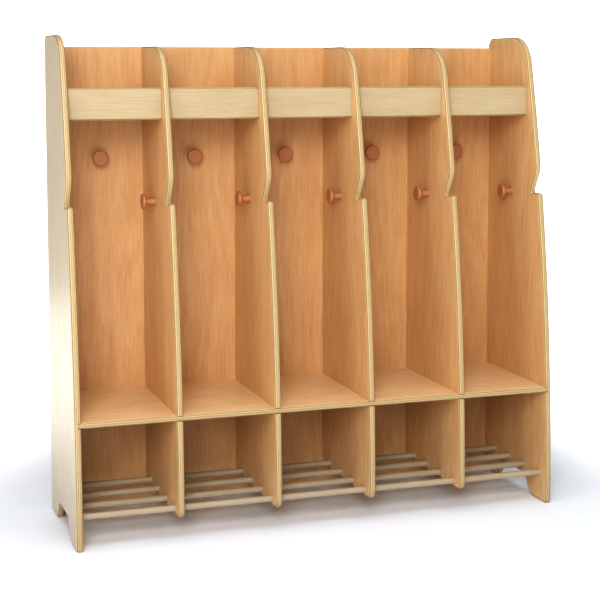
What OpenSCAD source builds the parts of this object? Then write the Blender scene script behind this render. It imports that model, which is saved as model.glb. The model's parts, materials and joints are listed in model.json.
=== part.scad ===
// Five-section coat locker for a classroom, in birch plywood.
// X runs across the width, the open front faces -Y, and Z is up from the floor.
// The origin is the middle of the footprint, on the floor.
// Depths are measured forward from the rear edges of the end panels.

/* [Overall] */
// Overall width, outside the end panels
locker_w = 1219; // [900:1:1500]
// Overall depth at the floor
locker_d = 366; // [340:1:440]
// Height of the end panels
locker_h = 1188; // [1080:1:1430]
// Depth of the end panels at the very top, before the corner is rounded
top_depth = 212; // [190:1:240]
// Number of coat sections
sections = 5; // [2:1:5]

/* [Boards] */
// Thickness of the uprights and the hat rails
board_t = 16; // [14:0.5:20]
// Thickness of the bench and the hat shelves
shelf_t = 13; // [11:0.5:16]
// Thickness of the back panel
back_t = 12; // [10:0.5:15]
// Radius of the hat rails' rounded edges
rail_edge_r = 6.5; // [2:0.5:6.5]
// Radius of the bench's front edges
bench_edge_r = 5; // [2:0.5:5.5]
// Radius of the back panel's top edges
back_edge_r = 4; // [2:0.5:5]
// Depth of the grooves that hold the hat shelves
housing = 5; // [3:0.5:6]
// Depth of the end panels' grooves for the bench
bench_housing = 7; // [4:0.5:9]
// Width of the end panels' rebate for the back panel
rebate = 8; // [5:0.5:10]
// Room around a board in its groove
board_fit = 0.1; // [0.05:0.05:0.3]

/* [Bench and hat shelves] */
// Height of the bench's top face
bench_z = 300; // [240:1:360]
// Clearance between the floor and the back panel
back_foot = 8; // [3:1:30]
// Clearance between the floor and the lower dividers
divider_foot = 56; // [50:1:60]
// How far the back panel and the dividers stop below the end panels
back_drop = 26; // [15:1:60]
// How far the top of the hat rails is below the end panels' top
rail_drop = 125; // [110:1:150]
// Height of a hat rail
rail_h = 76; // [60:1:90]
// Depth of the hat rails' front face
rail_d = 229; // [200:1:232]
// How far a hat shelf sits above the underside of its rail
shelf_up = 10; // [7:1:25]

/* [Upright outline] */
// Radius of an end panel's top front corner
end_top_r = 85; // [40:1:100]
// Radius of a divider's top front corner
divider_top_r = 100; // [40:1:110]
// Radius of an end panel's top rear corner
rear_top_r = 18; // [6:1:30]
// Radius of a lower divider's front corner
divider_foot_r = 20; // [8:1:30]
// How far the shoulder under the coat section is below the end panels' top
shoulder_drop = 397; // [380:1:420]
// Depth at which the shoulder's flat top begins
shoulder_d = 268; // [262:1:274]
// Radius of the shoulder's front corner
shoulder_r = 8; // [3:1:12]
// Depth of the notch's deepest point
notch_d = 256; // [250:1:260]
// How far the notch's deepest point is below the shoulder
notch_drop = 14; // [8:1:20]
// How far above the shoulder the notch's rear side is upright
notch_rise = 6; // [3:1:10]
// Slope of the notch's upper side, in degrees above the floor
notch_slope = 60.5; // [50:0.5:70]
// Radius of the nose above the notch
nose_r = 42; // [15:1:60]
// Radius at the notch's deepest point
notch_r = 4.5; // [2:0.5:4.5]
// Radius of the shoulder's rear corner
lip_r = 7; // [3:0.5:7.5]

/* [Feet] */
// Length of each foot along the floor
foot_l = 86; // [60:1:110]
// Height of the arch between the feet
arch_h = 47; // [30:1:52]
// How far each side of the arch leans over its height
arch_lean = 37; // [10:1:40]
// Radius of the arch's upper corners
arch_r = 22; // [8:1:28]
// Radius of the feet's corners
foot_r = 7; // [2:1:8]

/* [Pegs] */
// Diameter of a peg's head
peg_head = 38; // [28:1:42]
// Thickness of a peg's head
head_t = 10; // [7:0.5:13]
// Radius of a peg's rim
rim_r = 4; // [1:0.5:4.5]
// Distance that a peg stands out from its board
peg_out = 34; // [28:1:45]
// Diameter of a peg's stem at the board
peg_base = 20; // [16:1:24]
// Diameter of a peg's stem at its head
peg_neck = 15; // [13:0.5:18]
// Diameter of a peg's tenon
tenon_d = 12; // [8:0.5:12]
// Length of a side peg's tenon
tenon_l = 11; // [8:0.5:12]
// How far the back pegs are below the end panels' top
back_peg_drop = 301; // [280:1:330]
// How far the side pegs are below the end panels' top
side_peg_drop = 402; // [395:1:440]
// Depth of the side pegs
side_peg_d = 150; // [110:1:190]

/* [Shoe rack] */
// Number of tubes
tubes = 4; // [3:1:4]
// Outer diameter of a tube
tube_d = 16; // [12:0.5:18]
// Wall of a tube
tube_wall = 1.2; // [0.8:0.1:2]
// Height of the tubes' centres
tube_z = 72; // [70:1:80]
// Depth of the rearmost tube
rear_tube = 75; // [60:1:90]
// How far the front tube is behind the uprights' front edge at the floor
front_tube = 39; // [30:1:50]
// Depth of the tubes' seats in the end panels
tube_seat = 9; // [6:0.5:11]
// Room around a tube in its holes
tube_fit = 0.3; // [0.1:0.1:0.6]

/* [Fixings] */
// Diameter of the dowels
dowel_d = 8; // [6:0.5:8]
// How far a divider's dowels go into each upright
dowel_in = 20; // [12:1:28]
// How far a rail's dowels go into the rail
rail_dowel_in = 16; // [10:1:24]
// How far a rail's dowels go into an end panel
end_dowel_in = 9; // [6:1:11]
// Shank diameter of the screws in the back
screw_d = 4; // [3:0.5:4.5]
// Head diameter of the screws
screw_head = 8; // [7:0.5:9]
// Length of the screws
screw_l = 38; // [28:1:50]
// Room around a dowel, tenon or screw in its hole
fixing_fit = 0.05; // [0.02:0.01:0.15]

/* [Hidden] */
$fn = 48;
arc_step = 5;             // degrees between the points of an outline's arcs
sweep_step = 0.5;         // degrees between the points of the front sweep
cut = 1;                  // how far a cutting shape runs past a face
end_gap = 1;              // air beyond the end of a pin in a blind hole
rail_gap = 0.5;           // air between a rail's end and its upright
divider_dowels_n = 3;     // dowels from front to back in each divider
upper_screws_n = 4;       // screws up each upper divider
screw_margin = 60;        // distance from a divider's end to its nearest screw
recess_w = 1;             // width of the slots in a screw's head
recess_l = 5;             // length of the slots in a screw's head
recess_t = 2;             // depth of the slots in a screw's head
birch = [0.87, 0.73, 0.54];
light_birch = [0.91, 0.80, 0.61];
turned_birch = [0.72, 0.45, 0.27];
taupe = [0.70, 0.63, 0.54];
zinc = [0.75, 0.75, 0.72];

// Across the width
inner_w = locker_w - 2 * board_t;
opening_w = (inner_w - (sections - 1) * board_t) / sections;
left_wall = -inner_w / 2;                            // inner face of the left end panel
right_wall = inner_w / 2;
function section_x(i) = left_wall + (i - 1) * (opening_w + board_t);
function section_mid(i) = section_x(i) + opening_w / 2;
function divider_x(i) = section_x(i) + opening_w;    // left face of the upright right of section i

// Heights
back_top = locker_h - back_drop;
rail_z = locker_h - rail_drop - rail_h;
hat_shelf_z = rail_z + shelf_up;
bench_under = bench_z - shelf_t;
shoulder_z = locker_h - shoulder_drop;
back_peg_z = locker_h - back_peg_drop;
side_peg_z = locker_h - side_peg_drop;

// The front edges of all the uprights lie on one long arc, upright at the floor
sweep_back = locker_d - top_depth;
sweep_r = (locker_h * locker_h + sweep_back * sweep_back) / (2 * sweep_back);
sweep_centre = [locker_d - sweep_r, 0];
function front_d(z) = sweep_centre[0] + sqrt(sweep_r * sweep_r - z * z);

// The notch: its deepest point, the bend under the nose, and the lip where the shoulder begins
notch_root = [notch_d, shoulder_z - notch_drop];
notch_bend = [notch_d + 1, shoulder_z + notch_rise];
shoulder_lip = [shoulder_d, shoulder_z];
shoulder = meet_sweep(shoulder_lip, 0, -1, shoulder_r);

rail_rear = rail_d - board_t;
bench_d = front_d(bench_z);
tube_pitch = (locker_d - rear_tube - front_tube) / (tubes - 1);
dowel_step = (bench_d - back_t) / divider_dowels_n;
dowel_depths = [for (k = [1:divider_dowels_n]) back_t + (k - 0.5) * dowel_step];
rail_dowel_zs = [rail_z + rail_h * 0.3, rail_z + rail_h * 0.75];
upper_screw_step = (back_top - bench_z - 2 * screw_margin) / (upper_screws_n - 1);
upper_screw_zs = [for (k = [0:upper_screws_n - 1]) bench_z + screw_margin + k * upper_screw_step];
lower_screw_zs = [divider_foot + screw_margin, bench_under - screw_margin];
divider_screw_zs = concat(upper_screw_zs, lower_screw_zs);
shelf_screw_zs = [bench_z - shelf_t / 2, hat_shelf_z + shelf_t / 2];

function numbered(name, n) = [for (i = [1:n]) str(name, "_", i)];

// ---- outlines, as lists of [depth, height] points ----

function arc(centre, r, from, to, step = arc_step) =
    let (n = ceil(abs(to - from) / step))
    [for (k = [0:n]) let (a = from + (to - from) * k / n) centre + r * [cos(a), sin(a)]];

function heading(v) = atan2(v[1], v[0]);
function half_turn(a) = a > 180 ? a - 360 : a < -180 ? a + 360 : a;

// The arc that rounds the corner b on the way from a to c
function rounded(a, b, c, r) =
    let (u = (a - b) / norm(a - b), v = (c - b) / norm(c - b), half = acos(u * v) / 2,
         centre = b + (u + v) / norm(u + v) * r / sin(half),
         from = heading(b + u * r / tan(half) - centre),
         to = heading(b + v * r / tan(half) - centre))
    arc(centre, r, from, from + half_turn(to - from));

// The stretch of the front sweep between two angles about its centre, without its ends
function sweep(from, to) =
    let (pts = arc(sweep_centre, sweep_r, from, to, sweep_step)) [for (k = [1:len(pts) - 2]) pts[k]];

// Where a straight side meets the front sweep in an arc of radius r: [the arc's centre, its angle there].
// The side leaves p at the angle slope, with the wood on its left (side = 1) or on its right (side = -1).
function meet_sweep(p, slope, side, r) =
    let (u = [cos(slope), sin(slope)], q = p + side * [-sin(slope), cos(slope)] * r,
         w = q - sweep_centre, b = w * u, reach = sweep_r - r,
         centre = q + u * (sqrt(b * b - w * w + reach * reach) - b))
    [centre, heading(centre - sweep_centre)];

// The front edge from a flat top down to the shoulder, past the nose and the notch
function coat_front(top, top_r) =
    let (t = meet_sweep([0, top], 0, -1, top_r), n = meet_sweep(notch_bend, notch_slope, 1, nose_r),
         below_nose = notch_bend + [cos(notch_slope), sin(notch_slope)])
    concat(arc(t[0], top_r, 90, t[1]), sweep(t[1], n[1]), arc(n[0], nose_r, n[1], notch_slope - 90),
           rounded(below_nose, notch_bend, notch_root, notch_r),
           rounded(notch_bend, notch_root, shoulder_lip, notch_r),
           rounded(notch_root, shoulder_lip, [locker_d, shoulder_z], lip_r),
           arc(shoulder[0], shoulder_r, 90, shoulder[1]));

end_outline =
    let (foot = meet_sweep([0, 0], 0, 1, foot_r), rear = [foot_l, 0], front = [locker_d - foot_l, 0],
         rear_top = rear + [arch_lean, arch_h], front_top = front + [-arch_lean, arch_h])
    concat(rounded([locker_d, 0], [0, 0], [0, locker_h], foot_r),
           rounded([0, 0], [0, locker_h], [locker_d, locker_h], rear_top_r),
           coat_front(locker_h, end_top_r), sweep(shoulder[1], foot[1]),
           arc(foot[0], foot_r, foot[1], -90),
           rounded([locker_d, 0], front, front_top, foot_r),
           rounded(front, front_top, rear_top, arch_r),
           rounded(front_top, rear_top, rear, arch_r),
           rounded(rear_top, rear, [0, 0], foot_r));

upper_outline =
    concat([[back_t, bench_z], [back_t, back_top]], coat_front(back_top, divider_top_r),
           sweep(shoulder[1], asin(bench_z / sweep_r)), [[bench_d, bench_z]]);

lower_outline =
    let (foot = meet_sweep([0, divider_foot], 0, 1, divider_foot_r))
    concat([[back_t, divider_foot], [back_t, bench_under], [front_d(bench_under), bench_under]],
           sweep(asin(bench_under / sweep_r), foot[1]), arc(foot[0], divider_foot_r, foot[1], -90));

// A board's section with the edges named by their corners rounded, anticlockwise from the rear bottom
function board_section(at, size, corners, r) =
    let (square = [at, at + [size[0], 0], at + size, at + [0, size[1]]])
    [for (k = [0:3]) each len([for (c = corners) if (c == k) c]) > 0
        ? rounded(square[(k + 3) % 4], square[k], square[(k + 1) % 4], r) : [square[k]]];

// ---- placing ----

// Stands a [depth, height] outline up and draws it out along X from x
module along_x(x, length) {
    translate([x, locker_d / 2, 0]) mirror([0, 1, 0]) rotate([90, 0, 90])
        linear_extrude(length) children();
}

// A round hole or pin along X, at a depth and height
module pin_x(x, d, z, length, diameter) {
    translate([x, locker_d / 2 - d, z]) rotate([0, 90, 0]) cylinder(h = length, d = diameter);
}

// Puts children, drawn along +Z, at a depth and height so that they point forwards
module forwards(x, d, z) {
    translate([x, locker_d / 2 - d, z]) rotate([90, 0, 0]) children();
}

// ---- holes ----

module tube_holes(x, length) {
    for (k = [0:tubes - 1])
        pin_x(x, rear_tube + k * tube_pitch, tube_z, length, tube_d + 2 * tube_fit);
}

module dowel_hole(length) {
    cylinder(h = length, d = dowel_d + 2 * fixing_fit);
}

// The groove for a hat shelf, cut in from the face at x, to its right (side = 1) or left (side = -1)
module shelf_groove(x, side) {
    along_x(x - (1 - side) / 2 * (housing + board_fit), housing + board_fit)
        translate([back_t - board_fit, hat_shelf_z - board_fit])
            square([rail_rear - back_t + 2 * board_fit, shelf_t + 2 * board_fit]);
}

module side_peg_hole(x) {
    pin_x(x, side_peg_d, side_peg_z, tenon_l + end_gap, tenon_d + 2 * fixing_fit);
}

module screw_pilot(x, z) {
    forwards(x, 0, z) cylinder(h = screw_l + end_gap, d = screw_d + 2 * fixing_fit);
}

// ---- boards ----

// The end panel on the left; its inner face is at left_wall
module end_panel_blank() {
    outside = left_wall - board_t;
    difference() {
        along_x(outside, board_t) polygon(end_outline);
        along_x(left_wall - rebate - board_fit, board_t)
            translate([-cut, back_foot - board_fit])
                square([back_t + cut, back_top - back_foot + 2 * board_fit]);
        along_x(left_wall - bench_housing - board_fit, board_t)
            translate([back_t - cut, bench_under - board_fit])
                square([locker_d, shelf_t + 2 * board_fit]);
        shelf_groove(left_wall, -1);
        tube_holes(left_wall - tube_seat, board_t);
        for (z = rail_dowel_zs)
            pin_x(left_wall - end_dowel_in - end_gap, rail_d - board_t / 2, z, board_t,
                  dowel_d + 2 * fixing_fit);
    }
}

module left_end_panel() {
    color(birch) end_panel_blank();
}

module right_end_panel() {
    color(birch) difference() {
        mirror([1, 0, 0]) end_panel_blank();
        side_peg_hole(right_wall);
    }
}

module back_panel() {
    w = inner_w + 2 * rebate;
    color(birch) difference() {
        along_x(-w / 2, w)
            polygon(board_section([0, back_foot], [back_t, back_top - back_foot], [2, 3], back_edge_r));
        for (i = [1:sections]) forwards(section_mid(i), -cut, back_peg_z)
            cylinder(h = back_t + 2 * cut, d = tenon_d + 2 * fixing_fit);
        each_back_screw() {
            translate([0, 0, -cut]) cylinder(h = back_t + 2 * cut, d = screw_d + 2 * fixing_fit);
            countersink(fixing_fit);
        }
    }
}

module bench_shelf() {
    w = inner_w + 2 * bench_housing;
    color(birch) difference() {
        along_x(-w / 2, w)
            polygon(board_section([back_t, bench_under], [bench_d - back_t, shelf_t], [1, 2], bench_edge_r));
        for (i = [1:sections - 1], d = dowel_depths)
            translate([divider_x(i) + board_t / 2, locker_d / 2 - d, bench_under - cut])
                dowel_hole(shelf_t + 2 * cut);
        for (i = [1:sections]) screw_pilot(section_mid(i), shelf_screw_zs[0]);
    }
}

module upper_divider(i) {
    x = divider_x(i);
    color(birch) difference() {
        along_x(x, board_t) polygon(upper_outline);
        shelf_groove(x, 1);
        shelf_groove(x + board_t, -1);
        for (d = dowel_depths)
            translate([x + board_t / 2, locker_d / 2 - d, bench_z - cut])
                dowel_hole(dowel_in + end_gap + cut);
        for (z = rail_dowel_zs)
            pin_x(x - cut, rail_d - board_t / 2, z, board_t + 2 * cut, dowel_d + 2 * fixing_fit);
        for (z = upper_screw_zs) screw_pilot(x + board_t / 2, z);
        side_peg_hole(x);
    }
}

module lower_divider(i) {
    x = divider_x(i);
    color(birch) difference() {
        along_x(x, board_t) polygon(lower_outline);
        tube_holes(x - cut, board_t + 2 * cut);
        for (d = dowel_depths)
            translate([x + board_t / 2, locker_d / 2 - d, bench_under - dowel_in - end_gap])
                dowel_hole(dowel_in + end_gap + cut);
        for (z = lower_screw_zs) screw_pilot(x + board_t / 2, z);
    }
}

module hat_shelf(i) {
    color(birch) difference() {
        along_x(section_x(i) - housing, opening_w + 2 * housing)
            translate([back_t, hat_shelf_z]) square([rail_rear - back_t, shelf_t]);
        screw_pilot(section_mid(i), shelf_screw_zs[1]);
    }
}

module hat_rail(i) {
    length = opening_w - 2 * rail_gap;
    x = section_x(i) + rail_gap;
    hole_l = rail_dowel_in + end_gap - rail_gap;
    color(light_birch) difference() {
        along_x(x, length)
            polygon(board_section([rail_rear, rail_z], [board_t, rail_h], [0, 1, 2, 3], rail_edge_r));
        for (z = rail_dowel_zs, start = [x - cut, x + length - hole_l])
            pin_x(start, rail_d - board_t / 2, z, hole_l + cut, dowel_d + 2 * fixing_fit);
    }
}

// ---- pegs ----

// A turned peg along +Z: its shoulder is at zero, and its tenon runs to -tenon
module peg(tenon) {
    head_z = peg_out - head_t;
    color(turned_birch) union() {
        translate([0, 0, -tenon]) cylinder(h = tenon, d = tenon_d);
        cylinder(h = head_z, d1 = peg_base, d2 = peg_neck);
        translate([0, 0, head_z + rim_r]) cylinder(h = head_t - 2 * rim_r, d = peg_head);
        translate([0, 0, head_z + rim_r]) rotate_extrude() translate([peg_head / 2 - rim_r, 0]) circle(rim_r);
        translate([0, 0, peg_out - rim_r]) rotate_extrude() translate([peg_head / 2 - rim_r, 0]) circle(rim_r);
        translate([0, 0, head_z]) cylinder(h = head_t, d = peg_head - 2 * rim_r);
    }
}

module back_peg(i) {
    forwards(section_mid(i), back_t, back_peg_z) peg(back_t);
}

module side_peg(i) {
    translate([divider_x(i), locker_d / 2 - side_peg_d, side_peg_z]) rotate([0, -90, 0]) peg(tenon_l);
}

// ---- shoe rack ----

module shoe_tube(k) {
    reach = tube_seat - end_gap;
    d = rear_tube + (k - 1) * tube_pitch;
    length = inner_w + 2 * reach;
    color(taupe) difference() {
        pin_x(left_wall - reach, d, tube_z, length, tube_d);
        pin_x(left_wall - reach - cut, d, tube_z, length + 2 * cut, tube_d - 2 * tube_wall);
    }
}

// ---- fixings ----

// Upright dowels through the bench, which join each lower divider to the upper one
module divider_dowels() {
    color(birch) for (i = [1:sections - 1], d = dowel_depths)
        translate([divider_x(i) + board_t / 2, locker_d / 2 - d, bench_under - dowel_in])
            cylinder(h = shelf_t + 2 * dowel_in, d = dowel_d);
}

// Level dowels that carry the hat rails: right through each divider, and blind in the end panels
module rail_dowels() {
    color(birch) for (z = rail_dowel_zs) {
        for (i = [1:sections - 1])
            pin_x(divider_x(i) - rail_dowel_in, rail_d - board_t / 2, z,
                  board_t + 2 * rail_dowel_in, dowel_d);
        for (x = [left_wall - end_dowel_in, right_wall - rail_dowel_in])
            pin_x(x, rail_d - board_t / 2, z, end_dowel_in + rail_dowel_in, dowel_d);
    }
}

// Places children at each screw through the back panel, pointing into the locker
module each_back_screw() {
    for (i = [1:sections - 1], z = divider_screw_zs)
        forwards(divider_x(i) + board_t / 2, 0, z) children();
    for (i = [1:sections], z = shelf_screw_zs) forwards(section_mid(i), 0, z) children();
}

module countersink(room) {
    depth = (screw_head - screw_d) / 2;
    cylinder(h = depth, d1 = screw_head + 2 * room, d2 = screw_d + 2 * room);
}

module screw() {
    difference() {
        union() {
            cylinder(h = screw_l, d = screw_d);
            countersink(0);
        }
        for (turn = [0, 90]) rotate(turn)
            translate([-recess_l / 2, -recess_w / 2, -cut]) cube([recess_l, recess_w, recess_t + cut]);
    }
}

module back_screws() {
    color(zinc) each_back_screw() screw();
}

left_end_panel();
right_end_panel();
back_panel();
bench_shelf();
for (i = [1:sections - 1]) {
    upper_divider(i);
    lower_divider(i);
}
for (i = [1:sections]) {
    hat_shelf(i);
    hat_rail(i);
    back_peg(i);
    side_peg(i);
}
for (k = [1:tubes]) {
    shoe_tube(k);
}
divider_dowels();
rail_dowels();
back_screws();
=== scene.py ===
import bpy
import bmesh
import json
import math
import random
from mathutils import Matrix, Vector

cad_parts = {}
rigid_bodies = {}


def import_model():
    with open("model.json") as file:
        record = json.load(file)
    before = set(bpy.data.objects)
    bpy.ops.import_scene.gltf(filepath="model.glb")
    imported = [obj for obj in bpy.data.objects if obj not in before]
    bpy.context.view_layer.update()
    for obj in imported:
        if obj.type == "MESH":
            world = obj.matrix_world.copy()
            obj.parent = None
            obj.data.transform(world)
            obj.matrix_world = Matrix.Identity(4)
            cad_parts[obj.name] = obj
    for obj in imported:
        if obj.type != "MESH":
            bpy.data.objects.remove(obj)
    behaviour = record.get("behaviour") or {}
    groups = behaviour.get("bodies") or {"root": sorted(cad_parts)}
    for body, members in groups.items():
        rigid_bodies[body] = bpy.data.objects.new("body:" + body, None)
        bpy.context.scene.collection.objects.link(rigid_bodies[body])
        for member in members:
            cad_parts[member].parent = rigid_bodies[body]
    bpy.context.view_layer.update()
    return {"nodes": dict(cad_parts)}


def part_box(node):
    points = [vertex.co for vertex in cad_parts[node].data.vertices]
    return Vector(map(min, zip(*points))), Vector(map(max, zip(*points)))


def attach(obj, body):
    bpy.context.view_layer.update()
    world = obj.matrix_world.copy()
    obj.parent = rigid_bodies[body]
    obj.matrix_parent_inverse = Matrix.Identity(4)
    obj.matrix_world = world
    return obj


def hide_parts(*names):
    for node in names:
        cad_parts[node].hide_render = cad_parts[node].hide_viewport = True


for leftOver in list(bpy.data.objects):      # the empty start-up scene
    bpy.data.objects.remove(leftOver)

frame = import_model()
nodes = frame["nodes"]
print("frame loaded:", len(nodes), "pieces")

random.seed(48)


def linear(hexColour):
    values = [int(hexColour[k:k + 2], 16) / 255 for k in (0, 2, 4)]
    return [v / 12.92 if v <= 0.04045 else ((v + 0.055) / 1.055) ** 2.4 for v in values] + [1.0]


def add(tree, kind, settings={}, links={}):
    node = tree.nodes.new(kind)
    for key, value in settings.items():
        if isinstance(key, str) and hasattr(node, key):
            setattr(node, key, value)
        else:
            node.inputs[key].default_value = value
    for key, source in links.items():
        tree.links.new(source, node.inputs[key])
    return node


def newMaterial(name):
    material = bpy.data.materials.new(name)
    material.use_nodes = True
    tree = material.node_tree
    tree.nodes.clear()
    return material, tree


def grainCoords(tree, along, across, through):
    # the board's own coordinates in metres, stretched by the number of features per metre each way
    grain = add(tree, "ShaderNodeAttribute", {"attribute_name": "grain"})
    return add(tree, "ShaderNodeMapping", {"Scale": (along, across, through)},
               {"Vector": grain.outputs["Vector"]})


plywood = {
    "fleck": "A77C50",            # short pores and flecks, which take up more lacquer
    "faceMm": 0.8,                # the face veneer
    "plies": [                    # what a cut edge shows, by depth in millimetres below the face veneer
        (0.0, "93815F"), (1.4, "93815F"), (1.9, "BEAD8A"), (3.7, "BEAD8A"),
        (4.2, "A18E6A"), (5.4, "A18E6A"), (5.9, "BAAA86"), (8.0, "BAAA86"),
    ],
    "streakMm": 2.6,              # width of the soft streaks
    "streakDepth": 0.66,          # how much of the way to the dark veneer they go
    "fibreMm": 2.0,               # width of a fibre, drawn as coarse as it needs to show
    "fleckDepth": 0.40,
    "figureMm": 34.0,             # width of one band of the rotary-cut figure
    "figureDepth": 0.12,
    "cloudDepth": 0.2,
    "roughness": 0.42,
    "coat": 0.16,
    "coatRoughness": 0.25,
}


def birchPlywood(name, light, dark, thickness, figure=1.0):
    # Rotary-cut birch veneer under satin lacquer: a low figure, short fine fibres and a soft broad sheen.
    # A cut edge shows the plies as stripes, darker where a ply is cut across.
    p = plywood
    material, tree = newMaterial(name)
    streaks = add(tree, "ShaderNodeTexNoise", {"Scale": 1.0, "Detail": 4.0, "Roughness": 0.6},
                  {"Vector": grainCoords(tree, 13.0, 1000 / p["streakMm"], 40.0).outputs[0]})
    fibres = add(tree, "ShaderNodeTexNoise", {"Scale": 1.0, "Detail": 3.0, "Roughness": 0.7},
                 {"Vector": grainCoords(tree, 45.0, 1000 / p["fibreMm"], 60.0).outputs[0]})
    clouds = add(tree, "ShaderNodeTexNoise", {"Scale": 1.0, "Detail": 3.0},
                 {"Vector": grainCoords(tree, 6.0, 22.0, 4.0).outputs[0]})
    bends = add(tree, "ShaderNodeTexNoise", {"Scale": 1.0, "Detail": 1.0},
                {"Vector": grainCoords(tree, 1.8, 6.0, 0.0).outputs[0]})
    place = add(tree, "ShaderNodeSeparateXYZ", {},
                {"Vector": grainCoords(tree, 1.0, 1000 / p["figureMm"], 1000.0).outputs[0]})
    bent = add(tree, "ShaderNodeMath", {"operation": "MULTIPLY_ADD", 1: 7.0},
               {0: bends.outputs["Fac"], 2: place.outputs["Y"]})
    band = add(tree, "ShaderNodeMath", {"operation": "PINGPONG", 1: 0.5}, {0: bent.outputs[0]})
    figureTone = add(tree, "ShaderNodeMapRange",
                     {"interpolation_type": "SMOOTHSTEP", "From Max": 0.5,
                      "To Max": p["figureDepth"] * figure},
                     {"Value": band.outputs[0]})
    streakTone = add(tree, "ShaderNodeMapRange",
                     {"From Min": 0.33, "From Max": 0.68, "To Min": 0.0, "To Max": p["streakDepth"]},
                     {"Value": streaks.outputs["Fac"]})
    cloudTone = add(tree, "ShaderNodeMapRange",
                    {"From Min": 0.35, "From Max": 0.65, "To Min": -0.06, "To Max": p["cloudDepth"]},
                    {"Value": clouds.outputs["Fac"]})
    figureAndStreaks = add(tree, "ShaderNodeMath", {"operation": "ADD"},
                           {0: figureTone.outputs[0], 1: streakTone.outputs[0]})
    tone = add(tree, "ShaderNodeMath", {"operation": "ADD", "use_clamp": True},
               {0: figureAndStreaks.outputs[0], 1: cloudTone.outputs[0]})
    veneer = add(tree, "ShaderNodeMix", {"data_type": "RGBA", 6: linear(light), 7: linear(dark)},
                 {"Factor": tone.outputs[0]})
    fleckMask = add(tree, "ShaderNodeMapRange",
                    {"From Min": 0.56, "From Max": 0.74, "To Min": 0.0, "To Max": p["fleckDepth"]},
                    {"Value": fibres.outputs["Fac"]})
    flecked = add(tree, "ShaderNodeMix", {"data_type": "RGBA", 7: linear(p["fleck"])},
                  {"Factor": fleckMask.outputs[0], 6: veneer.outputs[2]})

    # the depth below the nearer face, in millimetres
    fromMiddle = add(tree, "ShaderNodeMath", {"operation": "SUBTRACT", 1: thickness / 2},
                     {0: place.outputs["Z"]})
    offMiddle = add(tree, "ShaderNodeMath", {"operation": "ABSOLUTE"}, {0: fromMiddle.outputs[0]})
    depth = add(tree, "ShaderNodeMath", {"operation": "SUBTRACT", 0: thickness / 2},
                {1: offMiddle.outputs[0]})
    deepest = p["plies"][-1][0]
    plyShare = add(tree, "ShaderNodeMapRange", {"From Min": p["faceMm"], "From Max": p["faceMm"] + deepest},
                   {"Value": depth.outputs[0]})
    plies = add(tree, "ShaderNodeValToRGB", {}, {"Fac": plyShare.outputs[0]})
    stops = plies.color_ramp.elements
    stops[0].color = linear(p["plies"][0][1])
    stops[-1].color = linear(p["plies"][-1][1])      # a new ramp already has its first and last stop
    for mm, plyColour in p["plies"][1:-1]:
        stops.new(mm / deepest).color = linear(plyColour)
    plyGrain = add(tree, "ShaderNodeTexNoise", {"Scale": 1.0, "Detail": 3.0},
                   {"Vector": grainCoords(tree, 150.0, 150.0, 500.0).outputs[0]})
    plyShade = add(tree, "ShaderNodeMapRange",
                   {"From Min": 0.35, "From Max": 0.7, "To Min": 0.0, "To Max": 0.3},
                   {"Value": plyGrain.outputs["Fac"]})
    cutEdge = add(tree, "ShaderNodeMix", {"data_type": "RGBA", 7: linear(p["fleck"])},
                  {"Factor": plyShade.outputs[0], 6: plies.outputs["Color"]})
    edgeMask = add(tree, "ShaderNodeMapRange",
                   {"From Min": p["faceMm"] - 0.3, "From Max": p["faceMm"] + 0.1},
                   {"Value": depth.outputs[0]})
    colour = add(tree, "ShaderNodeMix", {"data_type": "RGBA"},
                 {"Factor": edgeMask.outputs[0], 6: flecked.outputs[2], 7: cutEdge.outputs[2]})
    gloss = add(tree, "ShaderNodeMapRange",
                {"From Min": 0.3, "From Max": 0.7,
                 "To Min": p["roughness"] - 0.05, "To Max": p["roughness"] + 0.08},
                {"Value": streaks.outputs["Fac"]})
    bump = add(tree, "ShaderNodeBump", {"Strength": 0.12, "Distance": 0.0004},
               {"Height": fibres.outputs["Fac"]})
    shader = add(tree, "ShaderNodeBsdfPrincipled",
                 {"IOR": 1.5, "Coat Weight": p["coat"], "Coat Roughness": p["coatRoughness"]},
                 {"Base Color": colour.outputs[2], "Roughness": gloss.outputs[0],
                  "Normal": bump.outputs[0]})
    add(tree, "ShaderNodeOutputMaterial", {}, {"Surface": shader.outputs[0]})
    return material


turned = {
    "side": "BF8F6C",             # long grain on the rim and stem
    "sideDark": "A06D48",
    "end": "704330",              # end grain soaks up the lacquer and goes dark
    "endDark": "593322",
    "ringMm": 2.2,                # growth rings, drawn coarse enough to show
    "roughness": 0.36,
    "coat": 0.3,
    "coatRoughness": 0.2,
}


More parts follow.
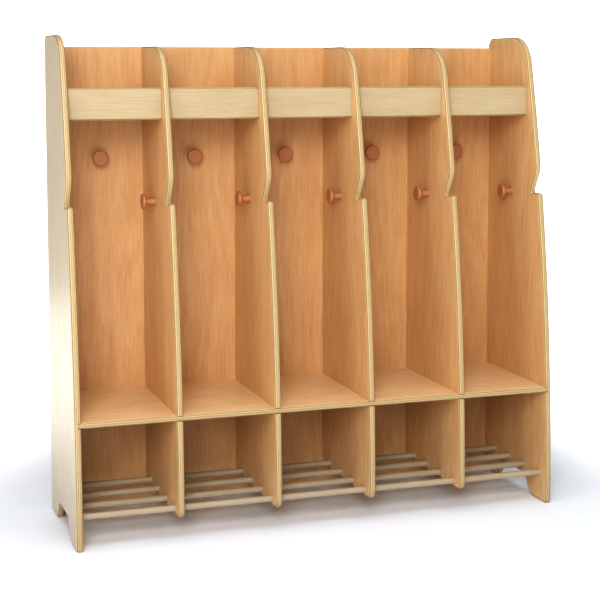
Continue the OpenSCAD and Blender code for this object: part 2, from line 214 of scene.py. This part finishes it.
def turnedBirch(name):
    # Birch turned on a lathe and lacquered: smooth, with pale flanks and a dark, ringed end face.
    p = turned
    material, tree = newMaterial(name)
    place = add(tree, "ShaderNodeSeparateXYZ", {},
                {"Vector": grainCoords(tree, 1000, 1000, 1000).outputs[0]})
    fibres = add(tree, "ShaderNodeTexNoise", {"Scale": 1.0, "Detail": 3.0},
                 {"Vector": grainCoords(tree, 30.0, 500.0, 500.0).outputs[0]})
    flank = add(tree, "ShaderNodeMix",
                {"data_type": "RGBA", 6: linear(p["side"]), 7: linear(p["sideDark"])},
                {"Factor": fibres.outputs["Fac"]})
    wobble = add(tree, "ShaderNodeTexNoise", {"Scale": 1.0, "Detail": 2.0},
                 {"Vector": grainCoords(tree, 60.0, 60.0, 60.0).outputs[0]})
    pith = add(tree, "ShaderNodeCombineXYZ", {"X": 0.0}, {"Y": place.outputs["Y"], "Z": place.outputs["Z"]})
    offCentre = add(tree, "ShaderNodeVectorMath", {"operation": "ADD", 1: (0.0, 21.0, 9.0)},
                    {0: pith.outputs[0]})
    radius = add(tree, "ShaderNodeVectorMath", {"operation": "LENGTH"}, {0: offCentre.outputs[0]})
    bent = add(tree, "ShaderNodeMath", {"operation": "MULTIPLY_ADD", 1: 3.0},
               {0: wobble.outputs["Fac"], 2: radius.outputs["Value"]})
    ring = add(tree, "ShaderNodeMath", {"operation": "PINGPONG", 1: p["ringMm"] / 2}, {0: bent.outputs[0]})
    ringMask = add(tree, "ShaderNodeMapRange", {"From Min": 0.2, "From Max": p["ringMm"] / 2},
                   {"Value": ring.outputs[0]})
    endGrain = add(tree, "ShaderNodeMix",
                   {"data_type": "RGBA", 6: linear(p["end"]), 7: linear(p["endDark"])},
                   {"Factor": ringMask.outputs[0]})
    endMask = add(tree, "ShaderNodeMapRange",
                  {"interpolation_type": "SMOOTHSTEP", "From Min": 2.2, "From Max": 0.3},
                  {"Value": place.outputs["X"]})      # millimetres behind the end face
    colour = add(tree, "ShaderNodeMix", {"data_type": "RGBA"},
                 {"Factor": endMask.outputs[0], 6: flank.outputs[2], 7: endGrain.outputs[2]})
    bump = add(tree, "ShaderNodeBump", {"Strength": 0.1, "Distance": 0.0003},
               {"Height": fibres.outputs["Fac"]})
    shader = add(tree, "ShaderNodeBsdfPrincipled",
                 {"IOR": 1.5, "Roughness": p["roughness"], "Coat Weight": p["coat"],
                  "Coat Roughness": p["coatRoughness"]},
                 {"Base Color": colour.outputs[2], "Normal": bump.outputs[0]})
    add(tree, "ShaderNodeOutputMaterial", {}, {"Surface": shader.outputs[0]})
    return material


tubes = {
    "coat": "B3A692",             # warm taupe
    "coatDark": "A79985",
    "orangePeelMm": 3.0,          # the ripple, drawn as coarse as it needs to show
    "roughness": 0.5,
}


def powderCoat(name):
    # Polyester powder baked on steel: even colour, satin, with a faint orange-peel ripple.
    p = tubes
    material, tree = newMaterial(name)
    place = add(tree, "ShaderNodeTexCoord")
    tone = add(tree, "ShaderNodeTexNoise", {"Scale": 14.0, "Detail": 3.0},
               {"Vector": place.outputs["Object"]})
    peel = add(tree, "ShaderNodeTexNoise", {"Scale": 1000 / p["orangePeelMm"], "Detail": 1.0},
               {"Vector": place.outputs["Object"]})
    colour = add(tree, "ShaderNodeMix",
                 {"data_type": "RGBA", 6: linear(p["coat"]), 7: linear(p["coatDark"])},
                 {"Factor": tone.outputs["Fac"]})
    gloss = add(tree, "ShaderNodeMapRange",
                {"From Min": 0.3, "From Max": 0.7,
                 "To Min": p["roughness"] - 0.04, "To Max": p["roughness"] + 0.06},
                {"Value": tone.outputs["Fac"]})
    bump = add(tree, "ShaderNodeBump", {"Strength": 0.1, "Distance": 0.0003},
               {"Height": peel.outputs["Fac"]})
    shader = add(tree, "ShaderNodeBsdfPrincipled", {"IOR": 1.5},
                 {"Base Color": colour.outputs[2], "Roughness": gloss.outputs[0],
                  "Normal": bump.outputs[0]})
    add(tree, "ShaderNodeOutputMaterial", {}, {"Surface": shader.outputs[0]})
    return material


screws = {
    "zinc": "C9CACB",
    "zincDark": "9FA3A6",
    "cloudMm": 10 / 3,            # three clouds to the centimetre, coarse enough to show
    "roughness": 0.34,
}


def zincPlate(name):
    # Electroplated zinc on steel: pale blue-grey metal with a slightly cloudy sheen.
    p = screws
    material, tree = newMaterial(name)
    place = add(tree, "ShaderNodeTexCoord")
    cloud = add(tree, "ShaderNodeTexNoise", {"Scale": 1000 / p["cloudMm"], "Detail": 3.0},
                {"Vector": place.outputs["Object"]})
    colour = add(tree, "ShaderNodeMix",
                 {"data_type": "RGBA", 6: linear(p["zinc"]), 7: linear(p["zincDark"])},
                 {"Factor": cloud.outputs["Fac"]})
    gloss = add(tree, "ShaderNodeMapRange",
                {"To Min": p["roughness"] - 0.08, "To Max": p["roughness"] + 0.12},
                {"Value": cloud.outputs["Fac"]})
    shader = add(tree, "ShaderNodeBsdfPrincipled", {"Metallic": 1.0},
                 {"Base Color": colour.outputs[2], "Roughness": gloss.outputs[0]})
    add(tree, "ShaderNodeOutputMaterial", {}, {"Surface": shader.outputs[0]})
    return material


dowels = {
    "birch": "D9BC8E",
    "birchDark": "BE9A66",
    "fibreMm": 1.0,               # drawn as coarse as it needs to show
    "roughness": 0.6,
}


def dowelBirch(name):
    # Birch rod planed and cut to length, left raw: pale and dry, with fine long fibres.
    p = dowels
    material, tree = newMaterial(name)
    place = add(tree, "ShaderNodeTexCoord")
    stretch = add(tree, "ShaderNodeMapping", {"Scale": (40.0, 1000 / p["fibreMm"], 1000 / p["fibreMm"])},
                  {"Vector": place.outputs["Object"]})
    fibres = add(tree, "ShaderNodeTexNoise", {"Scale": 1.0, "Detail": 3.0}, {"Vector": stretch.outputs[0]})
    colour = add(tree, "ShaderNodeMix",
                 {"data_type": "RGBA", 6: linear(p["birch"]), 7: linear(p["birchDark"])},
                 {"Factor": fibres.outputs["Fac"]})
    gloss = add(tree, "ShaderNodeMapRange",
                {"To Min": p["roughness"] - 0.1, "To Max": p["roughness"] + 0.1},
                {"Value": fibres.outputs["Fac"]})
    bump = add(tree, "ShaderNodeBump", {"Strength": 0.1, "Distance": 0.0002},
               {"Height": fibres.outputs["Fac"]})
    shader = add(tree, "ShaderNodeBsdfPrincipled", {"IOR": 1.5},
                 {"Base Color": colour.outputs[2], "Roughness": gloss.outputs[0],
                  "Normal": bump.outputs[0]})
    add(tree, "ShaderNodeOutputMaterial", {}, {"Surface": shader.outputs[0]})
    return material


uprightMm = 16.0      # the boards' thicknesses
shelfMm = 13.0
backMm = 12.0
uprightBirch = birchPlywood("uprightBirchPlywood", "DEC19A", "C89F73", uprightMm)
# a paler copy of the upright veneer for the end panels' outer faces: painted light and painted glancing
# reflection, not a different wood
paintedLightOuterBirch = birchPlywood("paintedLightOuterPlywood", "D2C6B2", "C2B49B", uprightMm)
backBirch = birchPlywood("backBirchPlywood", "D4B48D", "BF966B", backMm, 1.3)
shelfBirch = birchPlywood("shelfBirchPlywood", "E6D0B0", "D5B68E", shelfMm)
railBirch = birchPlywood("railBirchPlywood", "B7A98F", "A99777", uprightMm, 0.6)
turnedWood = turnedBirch("turnedBirch")
taupeCoat = powderCoat("taupePowderCoat")
zinc = zincPlate("zincPlatedSteel")
rawBirch = dowelBirch("rawBirchDowel")
print("materials made:", len(bpy.data.materials))


cleaning = {
    "merge": 1e-6,                # metres; corners closer than this are one
    "flatDegrees": 0.2,           # faces that meet flatter than this are one
    "sharpDegrees": 28,           # edges bent more than this stay crisp
    "square": 0.99,               # how nearly a face has to point along an axis
    "shift": 9,                   # metres by which each board's grain may be moved, so that no two match
}


def boardMesh(node):
    # a copy of the node's mesh with its flat faces whole
    mesh = bmesh.new()
    mesh.from_mesh(nodes[node].data)
    bmesh.ops.remove_doubles(mesh, verts=mesh.verts, dist=cleaning["merge"])
    bmesh.ops.dissolve_limit(mesh, angle_limit=math.radians(cleaning["flatDegrees"]),
                             verts=mesh.verts, edges=mesh.edges)
    mesh.normal_update()
    return mesh


def rimFaces(mesh, low, high):
    # the faces that go round a board's outline: the widest group of faces that cross its whole thickness
    crossing = set()
    for face in mesh.faces:
        xs = [v.co.x for v in face.verts]
        if abs(face.normal.x) < 0.02 and max(xs) - min(xs) > 0.5 * (high.x - low.x):
            crossing.add(face)
    groups = []
    while crossing:
        group = []
        edge = [crossing.pop()]
        while edge:
            face = edge.pop()
            group.append(face)
            for side in face.edges:
                for other in side.link_faces:
                    if other in crossing:
                        crossing.remove(other)
                        edge.append(other)
        groups.append(group)

    def span(group):
        zs = [v.co.z for face in group for v in face.verts]
        return max(zs) - min(zs)
    return set(max(groups, key=span))


def finishPiece(name, mesh, material, axes, start):
    # axes name which way the grain, the width and the thickness run; start is where they are measured from
    data = bpy.data.meshes.new(name)
    for face in mesh.faces:
        face.smooth = True
    for edge in mesh.edges:
        if edge.is_manifold and edge.calc_face_angle() > math.radians(cleaning["sharpDegrees"]):
            edge.smooth = False
    mesh.to_mesh(data)
    mesh.free()
    order = ["XYZ".index(a) for a in axes]
    shift = (random.uniform(0, cleaning["shift"]), random.uniform(0, cleaning["shift"]), 0.0)
    grain = data.attributes.new("grain", "FLOAT_VECTOR", "POINT")
    for vertex, value in zip(data.vertices, grain.data):
        place = vertex.co - start
        value.vector = [place[k] + s for k, s in zip(order, shift)]
    data.materials.append(material)
    piece = bpy.data.objects.new(name, data)
    bpy.context.scene.collection.objects.link(piece)
    weighted = piece.modifiers.new("evenNormals", "WEIGHTED_NORMAL")
    weighted.keep_sharp = True
    return piece


def standFor(piece, node):
    # the piece takes the CAD node's place on the locker's one body
    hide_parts(node)
    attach(piece, "root")


square = cleaning["square"]
rounding = {
    "upright": 0.0058,            # the router's round-over on the uprights
    "steps": 5,
    "outerFrom": 0.1,             # how far a face has to turn outwards to get the paler outer veneer, which is painted light
}


def makeUpright(node, skip, outside=0):
    # skip says which edges of the outline stay square because another board meets them;
    # outside is -1 or 1 on an end panel, whose outer face gets a paler copy of the veneer: painted light
    # and painted reflection standing in for the light on that side
    low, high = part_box(node)
    mesh = boardMesh(node)
    rim = rimFaces(mesh, low, high)
    edges = []
    for face in rim:
        for edge in face.edges:
            others = [f for f in edge.link_faces if f is not face]
            if others and abs(others[0].normal.x) > square and not skip(face.normal, others[0].normal):
                edges.append(edge)
    bmesh.ops.bevel(mesh, geom=list(set(edges)), offset=rounding["upright"], offset_type="OFFSET",
                    segments=rounding["steps"], profile=0.5, affect="EDGES", clamp_overlap=False)
    for face in mesh.faces:
        face.material_index = int(face.normal.x * outside > rounding["outerFrom"])
    piece = finishPiece(node + "_wood", mesh, uprightBirch, "ZYX", Vector((low.x, 0, 0)))
    # the outer face takes the paler veneer, which is painted light
    if outside:
        piece.data.materials.append(paintedLightOuterBirch)
    standFor(piece, node)


def makeBoard(node, material, axes):
    low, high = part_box(node)
    standFor(finishPiece(node + "_wood", boardMesh(node), material, axes, low), node)


sections = sum(name.startswith("hat_rail_") for name in nodes)

makeUpright("left_end_panel", lambda rim, side: rim.y > square and side.x > 0, -1)
makeUpright("right_end_panel", lambda rim, side: rim.y > square and side.x < 0, 1)
for k in range(1, sections):
    makeUpright(f"upper_divider_{k}", lambda rim, side: rim.y > square or rim.z < -square)
    makeUpright(f"lower_divider_{k}", lambda rim, side: rim.y > square or rim.z > square)
makeBoard("back_panel", backBirch, "ZXY")
makeBoard("bench_shelf", shelfBirch, "XYZ")
for k in range(1, sections + 1):
    makeBoard(f"hat_shelf_{k}", shelfBirch, "XYZ")
    makeBoard(f"hat_rail_{k}", railBirch, "XZY")
print("boards made")


def makePeg(node, axes):
    # the first of the axes is the peg's own; its end face points to -Y on the back, to -X on the walls
    low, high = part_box(node)
    axis = "XYZ".index(axes[0])
    face = (low + high) / 2
    face[axis] = low[axis]
    standFor(finishPiece(node + "_turned", boardMesh(node), turnedWood, axes, face), node)


for k in range(1, sections + 1):
    makePeg(f"back_peg_{k}", "YXZ")
    makePeg(f"side_peg_{k}", "XYZ")
print("pegs made")


def paint(node, material):
    # a node that keeps its own shape
    for slot in nodes[node].material_slots:
        slot.material = material


for name in nodes:
    if name.startswith("shoe_tube_"):
        paint(name, taupeCoat)
paint("back_screws", zinc)
paint("divider_dowels", rawBirch)
paint("rail_dowels", rawBirch)
print("tubes, screws and dowels painted")


room = {
    "floor": "EFF3FA",
    "floorSize": 7.0,
    "fadeFrom": 0.7,              # the floor turns into the lit white sweep between these,
    "fadeTo": 1.7,                # in metres from the middle
    "sky": 0.3,                   # what the room's walls throw back
    "white": 2.2,                 # the sweep and the backdrop, bright enough to read as pure white
    "exposure": -0.63,
    "aim": (0, 0, 0.6),           # what every light points at
    "lights": [                   # name, watts, place, diameter
        ("key", 190.0, (-2.1, -5.1, 3.05), 2.6),
        ("fill", 44.0, (-1.7, -4.1, 0.7), 2.4),
        ("overhead", 128.0, (0.0, -0.9, 4.6), 5.0),
        ("side", 62.0, (-6.0, -2.8, 2.6), 2.2),
    ],
}


def makeFloor():
    mesh = bmesh.new()
    bmesh.ops.create_grid(mesh, x_segments=1, y_segments=1, size=room["floorSize"] / 2)
    data = bpy.data.meshes.new("floor")
    mesh.to_mesh(data)
    mesh.free()
    floor = bpy.data.objects.new("floor", data)
    bpy.context.scene.collection.objects.link(floor)
    material, tree = newMaterial("matteFloor")
    place = add(tree, "ShaderNodeTexCoord")
    away = add(tree, "ShaderNodeVectorMath", {"operation": "LENGTH"}, {0: place.outputs["Object"]})
    fade = add(tree, "ShaderNodeMapRange",
               {"interpolation_type": "SMOOTHSTEP", "From Min": room["fadeFrom"],
                "From Max": room["fadeTo"]},
               {"Value": away.outputs["Value"]})
    matte = add(tree, "ShaderNodeBsdfPrincipled", {"Base Color": linear(room["floor"]), "Roughness": 0.9})
    sweep = add(tree, "ShaderNodeEmission", {"Strength": room["white"]})
    shader = add(tree, "ShaderNodeMixShader", {},
                 {0: fade.outputs[0], 1: matte.outputs[0], 2: sweep.outputs[0]})
    add(tree, "ShaderNodeOutputMaterial", {}, {"Surface": shader.outputs[0]})
    data.materials.append(material)


def makeLight(name, watts, place, diameter):
    lamp = bpy.data.lights.new(name, "AREA")
    lamp.shape = "DISK"
    lamp.energy = watts
    lamp.size = diameter
    light = bpy.data.objects.new(name, lamp)
    bpy.context.scene.collection.objects.link(light)
    light.location = place
    light.rotation_euler = (Vector(room["aim"]) - Vector(place)).to_track_quat("-Z", "Y").to_euler()


def makeWorld():
    # a white backdrop, but a dimmer room
    world = bpy.data.worlds.new("studio")
    world.use_nodes = True
    tree = world.node_tree
    rays = add(tree, "ShaderNodeLightPath")
    strength = add(tree, "ShaderNodeMapRange", {"To Min": room["sky"], "To Max": room["white"]},
                   {"Value": rays.outputs["Is Camera Ray"]})
    backdrop = tree.nodes["Background"]
    backdrop.inputs["Color"].default_value = (1, 1, 1, 1)
    tree.links.new(strength.outputs[0], backdrop.inputs["Strength"])
    bpy.context.scene.world = world


makeFloor()
makeWorld()
for name, watts, place, diameter in room["lights"]:
    makeLight(name, watts, place, diameter)

view = {
    "place": (-1.1591, -3.4271, 1.1173),
    "yaw": 18.57,                 # degrees to the right of straight ahead
    "pitch": 5.70,                # degrees down
    "sensor": 36,
    "lens": 87.354,
    "shift": -0.15,
}
lens = bpy.data.cameras.new("view")
lens.sensor_width = view["sensor"]
lens.lens = view["lens"]
lens.shift_y = view["shift"]
camera = bpy.data.objects.new("view", lens)
bpy.context.scene.collection.objects.link(camera)
camera.location = view["place"]
camera.rotation_euler = (math.radians(90 - view["pitch"]), 0, math.radians(-view["yaw"]))
bpy.context.scene.camera = camera
settings = bpy.context.scene.view_settings
settings.view_transform = "Standard"
settings.look = "Very High Contrast"      # deepens the recesses and warms their shade
settings.exposure = room["exposure"]
print("floor, light and camera made")
